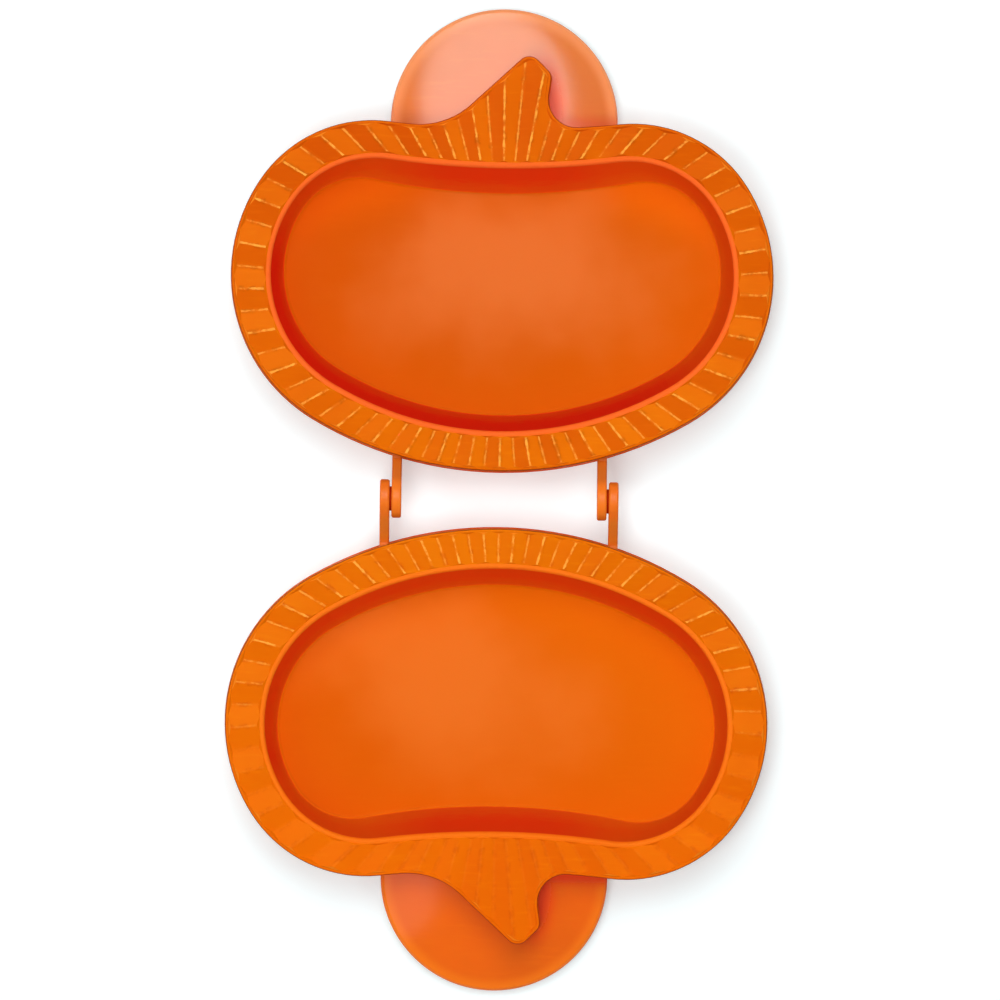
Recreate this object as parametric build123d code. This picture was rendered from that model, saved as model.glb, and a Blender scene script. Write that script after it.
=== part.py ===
from build123d import *
from functools import cache
import math
import os

# Hinged press for pumpkin-shaped hand pies, lying open and flat on a table.
# Units are mm. X runs along the hinge, +Y points to the lid half and -Y to the base half,
# +Z is up, and the origin is on the table, under the middle of the hinge.
# Both halves are drawn at +Y from the middle point of their pleats, and the base is the
# mirror image of the lid, with its pleats turned by half a pitch so that the two nest.

# Heights
rim_height = 16.0  # table to the plane in which the two rims meet
rim_thickness = 2.0
well_depth = 11.0  # rim plane to the well's floor
well_wall = 1.9
closed_gap = 0.5  # left between the two rims when the press is shut

# Rim outline: a bean of tangent arcs, named from the hinge side round to the stem side
hinge_setback = 6.5  # hinge axis to the nearest edge of a rim
rim_reach = 40.3  # middle point of the pleats to that edge
hinge_arc = 83.5  # radius
side_arc = 37.8  # radius
shoulder_arc = 30.4  # radius
side_start = -59.5  # degrees, where the hinge arc gives way to the side arc
side_end = 33.5  # degrees, where the side arc gives way to the shoulder arc
rim_waist = 1.6  # how far the edge bows in between the shoulders, behind the stem

# Stem, on the shoulder side of each half
stem_height = 15.9  # shoulder tops to the stem's sharp tip, before rounding
stem_tip_offset = 5.5  # middle line to the sharp tip
stem_corner_drop = 5.0  # sharp tip down to the corner beside it
stem_corner_offset = 10.6
stem_left_foot = 14.5  # middle line to the long side's foot
stem_right_foot = 8.7
stem_root = 2.6  # how far the feet run down inside the rim
tip_radius = 2.8
corner_radius = 2.5
left_foot_radius = 17.0
right_foot_radius = 6.4

# Well, set in from the rim outline
rim_width = 8.7
shoulder_rim = 7.7  # set-in of the shoulder arc's radius
lip_waist = 1.8  # the same bow along the lip
floor_set_in = 3.85  # lip to floor on the hinge side
floor_hinge_cut = 2.5  # lip radius less floor radius, for each arc
floor_side_cut = 3.3
floor_shoulder_cut = 7.4
floor_waist = 3.2

# Crimping pleats: flat facets that run out from the middle point
pleats = 36  # crests round a full turn
pleat_height = 1.1  # crest to valley at the widest part of the rim
crest_round = 0.09  # share of a facet taken by the rounding along its crest
valley_round = 0.16
outer_border = 0.6  # plain band outside the pleats
inner_border = 0.9  # plain band inside the pleats
pleat_end = 1.5  # run of the slope that ends each crest and valley

# Skirt, which is the dough cutter on the underside
skirt_wall = 2.0  # under the rim
cutter_edge = 0.9  # at the table
skirt_flare = 0.4  # how far the foot stands out past the rim

# Grip tab: part of a shallow dome that falls away from the mould
tab_centre = 85.3  # from the hinge axis
tab_radius = 25.6
tab_thickness = 2.4
dome_radius = 120.0
tab_lift = 0.5  # table to the underside of the tab's outer end
dome_centre = 71.0  # from the hinge axis
tab_edge_round = 1.1
tab_under_round = 0.5

# Hinge
lid_arm_inside = 22.0  # middle line to the inner face of a lid arm
arm_width = 2.2
arm_gap = 0.45  # between a lid arm and the base arm beside it
eye_radius = 4.35
pin_radius = 2.75
pin_clearance = 0.05  # radial, in the lid arm's eye
pin_chamfer = 0.3
arm_drop = 0.3  # arm's top face at its root, below the underside of the rim
arm_root_height = 6.0
arm_tail = 3.5  # how far a blank arm runs in past the edge of the rim, before it is trimmed
arm_heel = 0.3  # bend at the root, outside the edge of the rim
arm_edge_round = 0.5

# Rounding of the moulding
lip_round = 0.8
floor_round = 0.9
under_round = 3.4  # outside the well, under the edge of its floor
rim_edge_round = 0.45

# Worked out from the sizes above
middle_y = hinge_setback + rim_reach
axis_height = rim_height + closed_gap / 2
rim_underside = rim_height - rim_thickness
floor_height = rim_height - well_depth
dome_under_radius = dome_radius - tab_thickness
tab_end = tab_centre + tab_radius - dome_centre
dome_middle_height = tab_lift - math.sqrt(dome_under_radius**2 - tab_end**2)


def polar(radius, degrees):
    return Vector(radius * math.cos(math.radians(degrees)), radius * math.sin(math.radians(degrees)))


class Bean:
    """Outline of tangent arcs about the middle point, bowed in between its two shoulders."""

    def __init__(self, reach, hinge, side, shoulder, waist):
        self.reach = reach
        self.radii = (hinge, side, shoulder)
        self.waist = waist
        self.hinge_centre = Vector(0, hinge - reach)
        self.side_centre = self.hinge_centre + polar(hinge - side, side_start)
        self.shoulder_centre = self.side_centre + polar(side - shoulder, side_end)
        self.shoulder_top = self.shoulder_centre.Y + shoulder
        self.half_width = self.side_centre.X + side

    def grown(self, amount):
        hinge, side, shoulder = (radius + amount for radius in self.radii)
        return Bean(self.reach + amount, hinge, side, shoulder, self.waist)

    def face(self):
        hinge, side, shoulder = self.radii
        low = self.shoulder_top - self.waist
        bow = self.shoulder_centre.X ** 2 / (2 * self.waist) - shoulder + self.waist / 2
        to_bow = Vector(0, low + bow) - self.shoulder_centre
        shoulder_end = math.degrees(math.atan2(to_bow.Y, to_bow.X))
        joint = self.shoulder_centre + polar(shoulder, shoulder_end)
        right = [
            CenterArc(self.side_centre, side, side_start, side_end - side_start),
            CenterArc(self.shoulder_centre, shoulder, side_end, shoulder_end - side_end),
        ]
        left = [arc.mirror(Plane.YZ) for arc in right]
        hinge_side = CenterArc(self.hinge_centre, hinge, -180 - side_start, 180 + 2 * side_start)
        stem_side = ThreePointArc(joint, Vector(0, low), Vector(-joint.X, joint.Y))
        return make_face(Wire(right + left + [hinge_side, stem_side])).face()


rim = Bean(rim_reach, hinge_arc, side_arc, shoulder_arc, rim_waist)
lip = Bean(
    rim_reach - rim_width,
    hinge_arc - rim_width,
    side_arc - rim_width,
    shoulder_arc - shoulder_rim,
    lip_waist,
)
floor = Bean(
    lip.reach - floor_set_in,
    lip.radii[0] - floor_hinge_cut,
    lip.radii[1] - floor_side_cut,
    lip.radii[2] - floor_shoulder_cut,
    floor_waist,
)


@cache
def rim_face():
    """Pumpkin seen from above: the bean with its stem, about the middle point."""
    foot_y = rim.shoulder_top - stem_root
    tip_y = rim.shoulder_top + stem_height
    tip = Vector(stem_tip_offset, tip_y)
    corner = Vector(stem_corner_offset, tip_y - stem_corner_drop)
    feet = (Vector(-stem_left_foot, foot_y), Vector(stem_right_foot, foot_y))
    stem = make_face(Polyline(feet[0], tip, corner, feet[1], close=True))
    stem = fillet(stem.vertices().sort_by_distance(tip)[0], tip_radius)
    stem = fillet(stem.vertices().sort_by_distance(corner)[0], corner_radius)
    pumpkin = Sketch() + rim.face() + stem
    for foot, radius in zip(feet, (left_foot_radius, right_foot_radius)):
        pumpkin = fillet(pumpkin.vertices().sort_by_distance(foot)[0], radius)
    return pumpkin.face()


def at_height(shape, height):
    """Shape drawn about the middle point, set in its place at this height."""
    return Pos(0, middle_y, height) * shape


def slab(face, low, high):
    return extrude(at_height(face, low), high - low, dir=(0, 0, 1))


def between(low_face, low, high_face, high):
    """Solid with straight sides between two outlines at two heights."""
    return loft([at_height(low_face, low), at_height(high_face, high)], ruled=True)


def pleat_sheet(first_crest):
    """Pleated sheet through the middle point at rim height, its crests and valleys rounded."""
    radius = rim.half_width + rim_width
    rise = Vector(0, 0, pleat_height / 2 * radius / rim.half_width)
    half_pitch = 180 / pleats
    turns = range(2 * pleats)
    ends = [polar(radius, first_crest + turn * half_pitch) + rise * (-1) ** turn for turn in turns]
    shares = [crest_round, valley_round] * pleats
    edges = []
    for turn, end in enumerate(ends):
        after = ends[(turn + 1) % len(ends)]
        start = end + (ends[turn - 1] - end) * shares[turn]
        stop = end + (after - end) * shares[turn]
        chord_middle = (start + stop) * 0.5
        cosine = (stop - chord_middle).length / (stop - end).length
        crown = chord_middle + (end - chord_middle) * (cosine / (1 + cosine))
        edges.append(ThreePointArc(start, crown, stop))
        edges.append(Line(stop, after + (end - after) * shares[turn - 1]))
    return at_height(Shell.make_loft([Wire(edges), Vertex(0, 0, 0)], ruled=True), rim_height)


@cache
def pleat_layer(rise):
    """Ring that rises or sinks this far from the rim plane, and narrows as it goes."""
    wide = offset(rim_face(), -outer_border), lip.grown(inner_border).face()
    narrow = offset(rim_face(), -outer_border - pleat_end), lip.grown(inner_border + pleat_end).face()
    top = rim_height + rise
    outer, inner = (between(near, rim_height, far, top) for near, far in zip(wide, narrow))
    return outer - inner


@cache
def well_cup():
    """Plain rim plate with the well hanging from it, its edges rounded."""
    plate = slab(rim_face(), rim_underside, rim_height)
    plate = fillet(plate.edges().group_by(Axis.Z)[-1], rim_edge_round)
    shell_foot = floor.grown(well_wall).face()
    shell_top = lip.grown(well_wall).face()
    shell = between(shell_foot, floor_height - well_wall, shell_top, rim_height - rim_edge_round)
    cup = plate + shell - between(floor.face(), floor_height, lip.face(), rim_height)
    top_face = cup.faces().filter_by(Plane.XY).sort_by(Axis.Z)[-1]
    cup = fillet(top_face.inner_wires()[0].edges(), lip_round)
    floor_face = cup.faces().filter_by(Plane.XY).sort_by_distance((0, middle_y, floor_height))[0]
    cup = fillet(floor_face.outer_wire().edges(), floor_round)
    return fillet(cup.faces().sort_by(Axis.Z)[0].outer_wire().edges(), under_round)


def crimping_tray(first_crest):
    """Rim and well of one half, with its first crest at this angle about the middle point."""
    sunk = pleat_layer(-pleat_height)
    both = sunk + pleat_layer(pleat_height)
    pleated = both.split(pleat_sheet(first_crest), Keep.ALL).sort_by(Axis.Z)[0]
    return well_cup() - sunk + pleated


@cache
def skirt_block():
    """Everything inside the skirt's outer face."""
    return between(offset(rim_face(), skirt_flare), 0, rim_face(), rim_underside)


@cache
def cutter_skirt():
    inside_foot = offset(rim_face(), skirt_flare - cutter_edge)
    inside_top = offset(rim_face(), -skirt_wall)
    return skirt_block() - between(inside_foot, 0, inside_top, rim_underside)


@cache
def grip_tab():
    """Round tab cut from a shallow dome, and trimmed to the skirt."""
    dome_middle = Pos(0, dome_centre, dome_middle_height) * Rot(0, 90, 0)
    disc = Pos(0, tab_centre) * extrude(Circle(tab_radius), rim_height)
    tab = (disc & dome_middle * Sphere(dome_radius)) - dome_middle * Sphere(dome_under_radius)
    for side, radius in ((-1, tab_edge_round), (0, tab_under_round)):
        wall = tab.faces().filter_by(GeomType.CYLINDER)[0]
        tab = fillet(wall.edges().filter_by(GeomType.LINE, reverse=True).sort_by(Axis.Z)[side], radius)
    return tab - skirt_block()


def hinge_arm(inner_face, eye_bore):
    """Arm on the +X side, from its eye on the hinge axis to the skirt."""
    edge = hinge_setback + hinge_arc - math.sqrt(hinge_arc**2 - inner_face**2)
    heel = edge - arm_heel
    tail = edge + arm_tail
    top = rim_underside - arm_drop
    bottom = top - arm_root_height
    eye = Pos(0, axis_height) * Circle(eye_radius)
    web = make_hull(eye.edges() + Line((heel, bottom), (heel, top)).edges())
    root = Polyline((heel, bottom), (tail, bottom), (tail, top), (heel, top), close=True)
    profile = web + make_face(root)
    arm = extrude(Plane.YZ.offset(inner_face) * profile, arm_width)
    arm = fillet(arm.edges().filter_by(Plane.YZ), arm_edge_round)
    bore = Plane.YZ.offset(inner_face) * Pos(0, axis_height) * Circle(eye_bore)
    return arm - extrude(bore, arm_width) - skirt_block()


def hinge_pin():
    length = 2 * arm_width + arm_gap
    pin = Plane.YZ.offset(lid_arm_inside) * Pos(0, axis_height) * extrude(Circle(pin_radius), length)
    return chamfer(pin.edges().filter_by(GeomType.CIRCLE), pin_chamfer)


def half_pieces(half, first_crest, arm):
    """Pieces of one half, at +Y, by their names."""
    return {
        f"{half}_crimping_tray": crimping_tray(first_crest),
        f"{half}_cutter_skirt": cutter_skirt(),
        f"{half}_grip_tab": grip_tab(),
        f"{half}_hinge_arm_right": arm,
        f"{half}_hinge_arm_left": arm.mirror(Plane.YZ),
    }


def pieces():
    """Every piece of the press by its name."""
    lid = half_pieces("lid", 90, hinge_arm(lid_arm_inside, pin_radius + pin_clearance))
    base_arm = hinge_arm(lid_arm_inside + arm_width + arm_gap, pin_radius)
    base = half_pieces("base", 90 + 180 / pleats, base_arm)
    pin = hinge_pin()
    pins = {"hinge_pin_right": pin, "hinge_pin_left": pin.mirror(Plane.YZ)}
    return lid | {name: piece.mirror(Plane.XZ) for name, piece in base.items()} | pins


os.makedirs("parts", exist_ok=True)
for name, piece in pieces().items():
    export_step(piece, f"parts/{name}.step")
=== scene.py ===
import bpy
import math
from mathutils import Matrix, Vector
from types import SimpleNamespace

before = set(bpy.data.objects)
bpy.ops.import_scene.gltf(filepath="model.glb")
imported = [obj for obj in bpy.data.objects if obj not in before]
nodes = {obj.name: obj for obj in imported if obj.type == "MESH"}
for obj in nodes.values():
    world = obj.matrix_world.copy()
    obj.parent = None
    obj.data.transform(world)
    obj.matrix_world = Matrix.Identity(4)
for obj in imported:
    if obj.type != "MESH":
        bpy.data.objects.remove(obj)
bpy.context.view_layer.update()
scene = bpy.context.scene

MM = 0.001

# Measures of the CAD part
FLOOR_Z = 5.0 * MM        # top of the wells' floors
LIP_Z = 15.0 * MM         # foot of the rounded lip of a well
RIM_Z = 16.0 * MM         # middle plane of the pleats
MIDDLE_Y = 46.8 * MM      # from the hinge to the point that the pleats fan out from
TAB_Y = 85.3 * MM         # from the hinge to the centre of a grip tab
TAB_RADIUS = 25.6 * MM
MID_RIM_X = 56.8 * MM     # the oval along the middle of a rim, from its own middle
MID_RIM_Y = 36.0 * MM
PLEAT_TURN = math.radians(10)   # from one crest to the next


def rgb(red, green, blue):
    return (red, green, blue, 1.0)


WHITE = rgb(1.0, 1.0, 1.0)
WARM_GLOSS = rgb(1.0, 0.65, 0.40)

# Tints that both halves share
# Painted shade in the wells: deep red walls, less deep where painted light falls and at the foot
WALL_SHADE = rgb(0.95, 0.0155, 0.0050)
WARM_WALL_SHADE = rgb(0.96, 0.096, 0.0050)
WALL_FOOT_SHADE = rgb(0.94, 0.060, 0.0060)
WARM_WALL_FOOT_SHADE = rgb(0.95, 0.128, 0.0060)
# Painted highlight on the creases of the pleats
CREASE_HIGHLIGHT = rgb(1.00, 0.42, 0.055)
# Painted light on the outer tips of the pleats
PLEAT_END_LIGHT = rgb(1.00, 0.250, 0.0120)
# Painted shade: a dark line round the rim, redder by the tab
EDGE_SHADE = rgb(0.22, 0.050, 0.0020)
EDGE_SHADE_BY_TAB = rgb(0.40, 0.022, 0.0015)
SKIRT = rgb(0.88, 0.135, 0.0010)
# Painted shade: the pin as dark as if deep in the hinge gap
PIN_SHADE = rgb(0.50, 0.030, 0.0020)

# What differs from one half to the other. The lid is the deeper orange, with the glossier tab.
# The pleat faces and the floor each take a western tint and an eastern one, the rim one by the
# hinge and one by the stem. Painted light and shade are among them: the wall, pleat and floor
# tints, the floor's lighter corners, the lip and crease highlights, the shade beside the
# creases, the lid tab's pinker tint, the tab's rim highlight and corner shade, the arms' darker
# tint and the light on their eyes. A number with stem in its name says how much of a mark is
# left beside the stem. sheen_at is the middle of the floor's painted sheen, from the middle of
# the pleats.
LID = SimpleNamespace(
    name="lid",
    side=1,
    first_crest=math.radians(90),
    orange=rgb(0.77, 0.138, 0.0008),
    deep=rgb(0.72, 0.118, 0.0004),
    amber=rgb(0.80, 0.168, 0.0016),
    pleat_face_light=(rgb(0.93, 0.80, 1.0), rgb(1.07, 1.20, 1.0)),
    rim_sides=(rgb(1.02, 1.09, 1.0), rgb(0.97, 0.90, 1.0)),
    lip_highlight=rgb(1.00, 0.150, 0.0220),
    stem_lip_highlight=1.0,
    lit_wall_share=0.0,
    floor=(rgb(0.60, 0.070, 0.0002), rgb(0.67, 0.108, 0.0002)),
    floor_slant=0.0,
    floor_corner_light=1.22,
    sheen=rgb(0.80, 0.175, 0.033),
    sheen_at=(2.0 * MM, 5.0 * MM),
    sheen_slant=0.0,
    crease_shade=rgb(0.42, 0.070, 0.0006),
    stem_crease_shade=1.0,
    stem_crease_highlight=1.0,
    # Tab: pinker as painted light, a painted highlight round its rim, painted shade by the stem
    tab=rgb(0.78, 0.192, 0.0370),
    tab_rim_highlight=rgb(0.93, 0.300, 0.1000),
    tab_corner_shade=rgb(0.95, 0.080, 0.0050),
    tab_shade_by_rim=0.4,
    tab_ior=1.58,
    # Arms: darker as painted shade, with painted light on the eyes
    arm=rgb(0.68, 0.145, 0.0120),
    eye=rgb(0.92, 0.200, 0.0120),
)
BASE = SimpleNamespace(
    name="base",
    side=-1,
    first_crest=math.radians(95),
    orange=rgb(0.87, 0.160, 0.0006),
    deep=rgb(0.82, 0.138, 0.0003),
    amber=rgb(0.89, 0.194, 0.0012),
    pleat_face_light=(rgb(0.97, 0.92, 1.0), rgb(1.03, 1.08, 1.0)),
    rim_sides=(rgb(0.93, 1.07, 1.0), rgb(0.98, 0.96, 1.0)),
    lip_highlight=rgb(1.00, 0.192, 0.0110),
    stem_lip_highlight=0.6,
    lit_wall_share=0.7,
    floor=(rgb(0.655, 0.086, 0.0002), rgb(0.75, 0.132, 0.0002)),
    floor_slant=1.2,
    floor_corner_light=1.0,
    sheen=rgb(0.84, 0.175, 0.018),
    sheen_at=(-9.0 * MM, -6.0 * MM),
    sheen_slant=10.0 * MM,
    crease_shade=rgb(0.55, 0.050, 0.0015),
    stem_crease_shade=0.6,
    stem_crease_highlight=0.06,
    # Tab: a painted highlight round its rim, painted shade by the stem
    tab=rgb(0.90, 0.138, 0.0008),
    tab_rim_highlight=rgb(0.96, 0.190, 0.0040),
    tab_corner_shade=rgb(0.87, 0.055, 0.0003),
    tab_shade_by_rim=1.0,
    tab_ior=1.48,
    # Arms: darker as painted shade, with painted light on the eyes
    arm=rgb(0.79, 0.180, 0.0130),
    eye=rgb(0.87, 0.172, 0.0100),
)


class Number:
    """A number that a node puts out. Arithmetic on it adds math nodes."""

    def __init__(self, graph, socket):
        self.graph = graph
        self.socket = socket

    def __add__(self, other):
        return self.graph.math("ADD", self, other)

    def __sub__(self, other):
        return self.graph.math("SUBTRACT", self, other)

    def __rsub__(self, other):
        return self.graph.math("SUBTRACT", other, self)

    def __mul__(self, other):
        return self.graph.math("MULTIPLY", self, other)

    def __truediv__(self, other):
        return self.graph.math("DIVIDE", self, other)

    def __pow__(self, other):
        return self.graph.math("POWER", self, other)

    def __abs__(self):
        return self.graph.math("ABSOLUTE", self)

    def ramp(self, low, high, to_low, to_high, smooth=True):
        """Goes from to_low to to_high while this number goes from low to high."""
        n = self.graph.node("ShaderNodeMapRange", {
            "Value": self, "From Min": low, "From Max": high, "To Min": to_low,
            "To Max": to_high}, interpolation_type="SMOOTHSTEP" if smooth else "LINEAR")
        return Number(self.graph, n.outputs["Result"])

    def rise(self, low, high):
        return self.ramp(low, high, 0.0, 1.0)

    def fall(self, low, high):
        return self.ramp(low, high, 1.0, 0.0)

    def evenly(self, low, high):
        return self.ramp(low, high, 0.0, 1.0, smooth=False)

    def spread(self, low, high):
        """Puts a noise, which is seldom under 0.3 or over 0.7, between low and high."""
        return self.ramp(0.3, 0.7, low, high)


class Graph:
    """Short way to build one material's nodes."""

    def __init__(self, name):
        self.material = bpy.data.materials.new(name)
        self.material.use_nodes = True
        self.tree = self.material.node_tree
        self.tree.nodes.clear()
        self.out = self.tree.nodes.new("ShaderNodeOutputMaterial")

    def node(self, kind, inputs=(), **settings):
        n = self.tree.nodes.new(kind)
        for key, value in settings.items():
            setattr(n, key, value)
        for key, value in dict(inputs).items():
            if isinstance(value, Number):
                value = value.socket
            if isinstance(value, bpy.types.NodeSocket):
                self.tree.links.new(value, n.inputs[key])
            else:
                n.inputs[key].default_value = value
        return n

    def finish_with(self, shader):
        self.tree.links.new(shader.outputs[0], self.out.inputs[0])
        return self.material

    def math(self, operation, a, b=0.0, c=0.0):
        n = self.node("ShaderNodeMath", {0: a, 1: b, 2: c}, operation=operation)
        return Number(self, n.outputs[0])

    def larger(self, a, b):
        return self.math("MAXIMUM", a, b)

    def length(self, a, b):
        """Length of the vector with these two parts."""
        return self.math("SQRT", a * a + b * b)

    def parts(self, vector):
        """The x, y and z of a vector."""
        outputs = self.node("ShaderNodeSeparateXYZ", {0: vector}).outputs
        return [Number(self, output) for output in outputs]

    def noise(self, where, scale, detail, roughness=0.5, distortion=0.0):
        n = self.node("ShaderNodeTexNoise", {
            "Vector": where, "Scale": scale, "Detail": detail, "Roughness": roughness,
            "Distortion": distortion})
        return Number(self, n.outputs["Fac"])

    def stretched_noise(self, where, scales, detail, roughness):
        """Noise with its own scale along each axis."""
        mapping = self.node("ShaderNodeMapping", {"Vector": where, "Scale": scales})
        return self.noise(mapping.outputs[0], 1.0, detail, roughness)

    def mix(self, share, a, b):
        n = self.node("ShaderNodeMix", {0: share, 6: a, 7: b}, data_type="RGBA")
        return n.outputs[2]

    def times(self, a, b):
        """One colour times another."""
        return self.node("ShaderNodeVectorMath", {0: a, 1: b}, operation="MULTIPLY").outputs[0]

    def scaled(self, colour, by):
        """A colour times a number."""
        n = self.node("ShaderNodeVectorMath", {0: colour, 3: by}, operation="SCALE")
        return n.outputs[0]


class Plastic(Graph):
    """Injection-moulded plastic: clouds of pigment, flow marks and a fine moulded grain."""

    def __init__(self, name, light, dark, streak):
        super().__init__(name)
        coords = self.node("ShaderNodeTexCoord").outputs
        self.at = coords["Object"]
        self.facing = coords["Normal"]
        self.cloud = self.noise(self.at, 38.0, 3.0)
        self.grain = self.noise(self.at, 2600.0, 2.0, 0.6)
        flow = self.stretched_noise(self.at, (120.0, 900.0, 120.0), 3.0, 0.6)
        self.colour = self.mix(self.cloud.rise(0.35, 0.65), light, dark)
        self.paint(flow.ramp(0.5, 0.8, 0.0, 0.5), streak)

    def paint(self, share, colour):
        self.colour = self.mix(share, self.colour, colour)

    def finish(self, rough, specular, ior=1.47):
        """Ends the material. Dull plastic gets a warm gloss, polished plastic a white one."""
        bump = self.node("ShaderNodeBump", {
            "Height": self.grain, "Strength": 0.35, "Distance": 0.03 * MM})
        return self.finish_with(self.node("ShaderNodeBsdfPrincipled", {
            "Base Color": self.colour, "Roughness": rough + self.grain.spread(-0.02, 0.02),
            "Normal": bump.outputs["Normal"], "IOR": ior, "Specular IOR Level": specular,
            "Specular Tint": WARM_GLOSS if specular < 0.2 else WHITE,
            "Subsurface Weight": 0.10, "Subsurface Radius": (1.0, 0.25, 0.05),
            "Subsurface Scale": 1.2 * MM}))


def shades(tint):
    """The tint itself, a shade darker and a shade yellower."""
    red, green, blue, _ = tint
    return tint, rgb(red * 0.94, green * 0.94, blue * 0.94), rgb(red, green * 1.14, blue)


def plain_plastic(name, tint, rough, specular):
    """Plastic with no features of its own."""
    g = Plastic(name, *shades(tint))
    return g.finish(g.cloud.spread(rough * 0.8, rough * 1.2), specular)


def arm_plastic(half):
    """Plastic of one half's hinge arms: darker as painted shade, with painted light on the eyes.
    """
    g = Plastic(f"{half.name}_arm_plastic", *shades(half.arm))
    _, y, _ = g.parts(g.at)
    # Painted light on the eyes
    g.paint(abs(y).fall(3.0 * MM, 5.2 * MM), half.eye)
    return g.finish(g.cloud.spread(0.32, 0.48), 0.3)


def tab_plastic(half):
    """Polished plastic of one grip tab: a painted highlight round it, painted shade by the stem.
    """
    g = Plastic(f"{half.name}_tab_plastic", *shades(half.tab))
    x, y, _ = g.parts(g.at)
    _, _, slope = g.parts(g.facing)
    y = y * half.side - TAB_Y
    # Painted highlight round the tab's rim
    g.paint(g.length(x, y).rise(TAB_RADIUS - 3.4 * MM, TAB_RADIUS - 0.6 * MM), half.tab_rim_highlight)

    # Painted shade in the corner by the stem and along the tray's rim
    from_stem = g.length(x - 8.5 * MM, (y - 2.7 * MM) * 0.45)
    by_rim = y.fall(-0.5 * MM, 2.5 * MM) * x.rise(7.0 * MM, 10.0 * MM) * half.tab_shade_by_rim
    corner = g.larger(from_stem.fall(2.5 * MM, 7.0 * MM), by_rim)
    g.paint(corner * 0.9, half.tab_corner_shade)

    rough = g.larger(g.cloud.spread(0.08, 0.12), corner * 0.45)
    rough = g.larger(rough, slope.ramp(0.80, 0.93, 0.6, 0.0))
    return g.finish(rough, 0.5, half.tab_ior)


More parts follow.
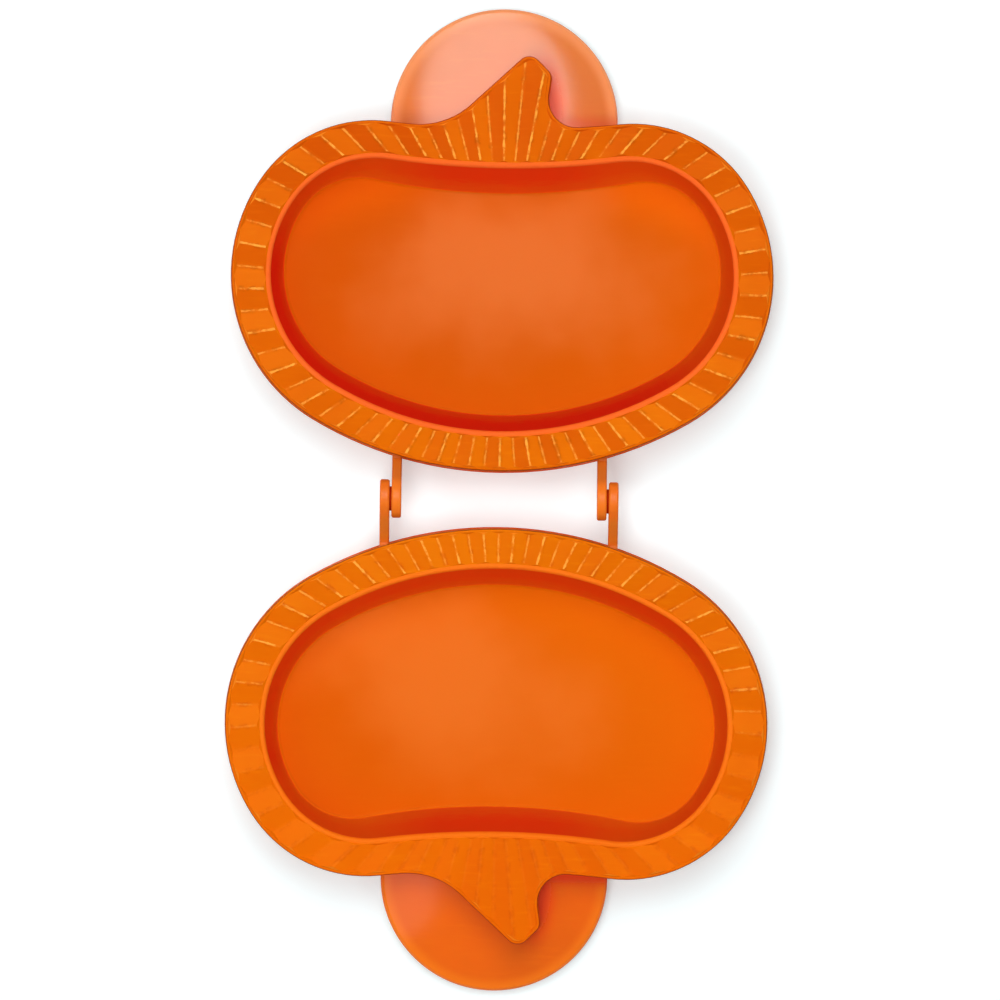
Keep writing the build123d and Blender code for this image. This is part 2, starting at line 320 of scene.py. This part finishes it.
class TrayPlastic(Plastic):
    """Plastic of one tray. Each method paints one zone, found by place and by slope."""

    def __init__(self, half):
        super().__init__(f"{half.name}_tray_plastic", half.orange, half.deep, half.amber)
        self.half = half
        self.x, y, self.z = self.parts(self.at)
        self.y = y * half.side - MIDDLE_Y
        self.east, self.north, self.slope = self.parts(self.facing)
        self.outward = self.east * self.x + self.north * half.side * self.y
        oval_power = self.math("GREATER_THAN", self.y, 0.0) + 2.0
        oval = ((abs(self.x) / MID_RIM_X) ** oval_power
                + (abs(self.y) / MID_RIM_Y) ** oval_power)
        self.by_well = oval.fall(0.98, 1.02)
        self.from_plane = abs(self.z - RIM_Z)

    def paint_walls(self):
        """Painted shade: deep red walls, lighter by the stem, to the east and at a ragged foot.
        """
        steep = abs(self.slope).fall(0.70, 0.92)
        inside = (self.z.rise(FLOOR_Z, FLOOR_Z + 0.3 * MM) * self.z.fall(LIP_Z, LIP_Z + 0.5 * MM)
                  * self.outward.fall(-4.0 * MM, 0.0))
        wobble = self.stretched_noise(self.at, (260.0, 260.0, 1100.0), 4.0, 0.65)
        up_wall = self.z + wobble.spread(-1.0 * MM, 1.0 * MM)
        by_stem = (self.north * -self.half.side).rise(0.0, 0.6)
        # Painted light: the walls by the stem and those to the east take the lighter tint
        warm = self.larger(by_stem, self.east.fall(-0.9, -0.3))
        warm = warm * abs(self.x).ramp(10.0 * MM, 32.0 * MM, 0.40, 1.0)
        warm = self.larger(warm, (1.0 - by_stem) * self.half.lit_wall_share)
        foot = self.mix(warm, WALL_FOOT_SHADE, WARM_WALL_FOOT_SHADE)
        wall = self.mix(warm, WALL_SHADE, WARM_WALL_SHADE)
        # Painted light: the foot of each wall paler, up to a ragged line
        wall = self.mix(up_wall.rise(FLOOR_Z + 1.0 * MM, FLOOR_Z + 6.0 * MM), foot, wall)
        # Painted shade: darker on walls that face north and west
        shade = (self.east * 0.8 - self.north).ramp(-1.2, 1.2, 0.70, 1.0, smooth=False)
        self.paint(steep * inside, self.scaled(wall, shade))

    def paint_rim(self):
        """Painted light: pleat faces yellower turned to the north-east, darker turned away."""
        to_north_east = self.east * 0.75 + self.north * 0.65
        face_light = self.mix(to_north_east.evenly(-0.20, 0.20), *self.half.pleat_face_light)
        # The rim is also toned from the hinge to the stem
        side = self.mix(self.y.evenly(-35.0 * MM, 35.0 * MM), *self.half.rim_sides)
        toned = self.times(self.colour, self.times(face_light, side))
        self.paint(self.z.rise(LIP_Z, LIP_Z + 0.3 * MM), toned)

    def paint_lip(self):
        """Salmon painted highlight on the well's rounded brim and the flat band by the pleats.
        """
        band = self.from_plane.ramp(0.02 * MM, 0.10 * MM, 0.70, 0.0) * self.by_well
        band = band * self.slope.rise(0.985, 0.998)
        rolled = (self.outward.fall(-5.0 * MM, -2.0 * MM) * self.z.rise(LIP_Z, LIP_Z + 0.5 * MM)
                  * self.z.fall(RIM_Z + 0.01 * MM, RIM_Z + 0.04 * MM) * self.by_well)
        lip_highlight = self.larger(rolled, band)
        left = self.y.ramp(-20.0 * MM, 30.0 * MM, 1.0, self.half.stem_lip_highlight)
        self.paint(lip_highlight * left, self.half.lip_highlight)
        return lip_highlight

    def paint_edge(self):
        """Painted light on the pleats' outer tips, painted shade in a dark line round the rim.
        """
        outer = 1.0 - self.by_well
        # Painted light on the outer tips of the pleats
        lit_ends = (self.outward.rise(6.0 * MM, 12.0 * MM)
                * self.z.rise(RIM_Z + 0.05 * MM, RIM_Z + 0.20 * MM) * outer)
        self.paint(lit_ends * 0.9, PLEAT_END_LIGHT)
        # Painted shade: a dark line round the rim, redder by the tab
        edge_shade = (abs(self.slope).fall(0.62, 0.86) * outer
                * self.z.rise(RIM_Z - 0.55 * MM, RIM_Z - 0.40 * MM))
        to_tab = self.length(self.x, self.y - (TAB_Y - MIDDLE_Y))
        by_tab = to_tab.fall(TAB_RADIUS, TAB_RADIUS + 0.8 * MM)
        self.paint(edge_shade * 0.9, self.mix(by_tab, EDGE_SHADE, EDGE_SHADE_BY_TAB))

    def paint_floor(self):
        """Well floor, painted lighter to the east and in corners, with a ragged painted sheen.
        """
        half = self.half
        level = self.z.fall(FLOOR_Z + 0.1 * MM, FLOOR_Z + 0.6 * MM) * self.slope.rise(0.80, 0.95)
        # Painted light: lighter to the east and, on the lid, in the corners by the stem
        sunny = self.x - self.y * half.floor_slant
        tint = self.mix(sunny.evenly(-75.0 * MM, 45.0 * MM), *half.floor)
        corner = self.y + abs(self.x) * 0.35
        tint = self.scaled(tint, corner.ramp(24.0 * MM, 36.0 * MM, 1.0, half.floor_corner_light))
        self.paint(level * 0.8, tint)

        # Painted sheen: a reflection painted into the colour in a ragged patch, also made
        # smoother
        east = (self.x - half.sheen_at[0]) / (31.0 * MM)
        north = (self.y - half.sheen_at[1] - east * half.sheen_slant) / (19.0 * MM)
        ragged = self.length(east, north) + self.cloud.spread(-0.25, 0.25)
        sheen_patch = ragged.fall(0.1, 1.5) * level
        self.paint(sheen_patch * 0.75, half.sheen)
        return sheen_patch

    def paint_creases(self, lip_highlight):
        """Painted highlights on the pleats' crests and valleys, with painted shade beside them.
        """
        turn = (self.math("ARCTAN2", self.y, self.x) - self.half.first_crest) / PLEAT_TURN
        swing = abs(self.math("WRAP", turn, 0.5, -0.5))
        arc = self.length(self.x, self.y) * PLEAT_TURN
        wander = self.noise(self.at, 900.0, 2.0, 0.6).spread(-0.08 * MM, 0.08 * MM)
        to_crest = swing * arc + wander
        to_valley = (0.5 - swing) * arc + wander

        top = self.z.rise(RIM_Z - 0.85 * MM, RIM_Z - 0.75 * MM) * self.slope.rise(0.84, 0.91)
        raised = self.larger(self.from_plane.ramp(0.10 * MM, 0.35 * MM, 0.1, 1.0),
                             self.from_plane.rise(0.0, 0.12 * MM) * self.by_well)
        pleated = top * (1.0 - lip_highlight) * raised
        to_stem = (-14.0 * MM, 12.0 * MM)

        # Painted highlights along the crests and valleys
        crest = to_crest.fall(0.12 * MM, 0.34 * MM)
        valley = to_valley.fall(0.10 * MM, 0.30 * MM) * 0.7
        broken = self.noise(self.at, 420.0, 3.0, 0.6).ramp(0.36, 0.60, 0.10, 1.0)
        crease_highlight = self.larger(crest, valley) * pleated * broken
        crease_highlight = crease_highlight * self.y.ramp(*to_stem, 1.0, self.half.stem_crease_highlight)

        # Painted shade beside the crests and valleys
        beside = self.larger(to_crest.fall(0.30 * MM, 0.95 * MM),
                             to_valley.ramp(0.30 * MM, 0.80 * MM, 0.8, 0.0))
        patchy = self.noise(self.at, 330.0, 4.0, 0.7, 0.6).rise(0.44, 0.66)
        crease_shade = beside * pleated * patchy * self.y.ramp(*to_stem, 1.0, self.half.stem_crease_shade)

        self.paint(crease_shade * 0.5, self.half.crease_shade)
        self.paint(crease_highlight * 0.9, CREASE_HIGHLIGHT)


def tray_plastic(half):
    """Plastic of one tray: painted shade on the walls, painted light on floor and creases."""
    g = TrayPlastic(half)
    g.paint_walls()
    g.paint_rim()
    lip_highlight = g.paint_lip()
    g.paint_edge()
    sheen_patch = g.paint_floor()
    g.paint_creases(lip_highlight)
    # The patch of painted sheen is also smoother
    return g.finish(g.cloud.spread(0.47, 0.53) - sheen_patch * 0.12, 0.09)


materials = {
    "lid_crimping_tray": tray_plastic(LID),
    "base_crimping_tray": tray_plastic(BASE),
    "lid_grip_tab": tab_plastic(LID),
    "base_grip_tab": tab_plastic(BASE),
    "cutter_skirt": plain_plastic("skirt_plastic", SKIRT, 0.75, 0.03),
    "lid_hinge_arm": arm_plastic(LID),
    "base_hinge_arm": arm_plastic(BASE),
    "hinge_pin": plain_plastic("pin_plastic", PIN_SHADE, 0.60, 0.1),
}
for name, node in nodes.items():
    material = next(material for word, material in materials.items() if word in name)
    if not node.material_slots:
        node.data.materials.append(material)
    for slot in node.material_slots:
        slot.material = material


def floor_paper():
    """Pale paper that takes the shadow. A glow that only the camera and reflections see lifts
    it to white: more of it far away, and a little more along the hinge, as painted light
    that thins the shadow between the halves."""
    g = Graph("floor_paper")
    path = g.node("ShaderNodeLightPath").outputs
    seen = g.larger(path["Is Camera Ray"],
                    g.larger(path["Is Glossy Ray"], path["Is Transmission Ray"]))
    # Where the camera and reflections see it, the paper is bluer than where it lights the press
    paper = g.mix(seen, rgb(0.72, 0.72, 0.72), rgb(0.72, 0.85, 0.87))
    place = g.node("ShaderNodeTexCoord").outputs["Object"]
    far = g.node("ShaderNodeVectorMath", {0: place}, operation="LENGTH").outputs["Value"]
    _, from_hinge, _ = g.parts(place)
    glow = (Number(g, far).ramp(0.16, 0.50, 0.30, 0.90)
            + abs(from_hinge).ramp(1.0 * MM, 6.0 * MM, 0.06, 0.0))
    diffuse = g.node("ShaderNodeBsdfDiffuse", {"Color": paper})
    lift = g.node("ShaderNodeEmission", {"Color": WHITE, "Strength": seen * glow})
    return g.finish_with(g.node("ShaderNodeAddShader", {0: diffuse.outputs[0],
                                                        1: lift.outputs[0]}))


FLOOR_REACH = 4.0
floor_mesh = bpy.data.meshes.new("floor")
floor_mesh.from_pydata([(-FLOOR_REACH, -FLOOR_REACH, 0), (FLOOR_REACH, -FLOOR_REACH, 0),
                        (FLOOR_REACH, FLOOR_REACH, 0), (-FLOOR_REACH, FLOOR_REACH, 0)],
                       [], [(0, 1, 2, 3)])
floor_mesh.materials.append(floor_paper())
floor = bpy.data.objects.new("floor", floor_mesh)
scene.collection.objects.link(floor)
floor.location.z = -0.1 * MM


def softbox(name, east, north, distance, power, across, up=None, glossy=True):
    """A soft lamp these degrees east and north of straight above the press, aimed at it."""
    lamp = bpy.data.lights.new(name, "AREA")
    lamp.shape = "ELLIPSE" if up else "DISK"
    lamp.size = across
    if up:
        lamp.size_y = up
    lamp.energy = power
    obj = bpy.data.objects.new(name, lamp)
    scene.collection.objects.link(obj)
    way = Vector((math.tan(math.radians(east)), math.tan(math.radians(north)), 1)).normalized()
    obj.location = way * distance
    obj.rotation_euler = way.to_track_quat("Z", "Y").to_euler()
    obj.visible_glossy = glossy


# The pale patch on the lid's tab is the reflection of the key lamp
softbox("key_softbox", -2.2, 22.5, 1.6, power=11.0, across=0.94, up=1.20)
softbox("north_softbox", -1.0, 26, 1.6, power=2.2, across=1.20, glossy=False)
softbox("top_softbox", -8, -12, 1.8, power=10.6, across=0.7, glossy=False)
softbox("left_softbox", -45, 10, 1.8, power=2.2, across=0.7)
softbox("right_softbox", 40, -6, 1.8, power=1.2, across=0.6)
softbox("low_left_softbox", -25, -23, 1.6, power=0.8, across=0.6)

world = bpy.data.worlds.new("studio")
scene.world = world
world.use_nodes = True
background = world.node_tree.nodes["Background"].inputs
background["Color"].default_value = WHITE
background["Strength"].default_value = 0.22

# Camera: straight above, turned by the slight tilt that the press has in its picture
CAMERA_HEIGHT = 3.0
camera = bpy.data.cameras.new("camera")
camera.lens = 480.0
camera.sensor_width = 36.0
camera.clip_end = 20.0
eye = bpy.data.objects.new("camera", camera)
scene.collection.objects.link(eye)
eye.location = (0.2 * MM, 0.0, RIM_Z + CAMERA_HEIGHT)
eye.rotation_euler = (0.0, 0.0, math.radians(0.79))
scene.camera = eye

scene.view_settings.view_transform = "Standard"
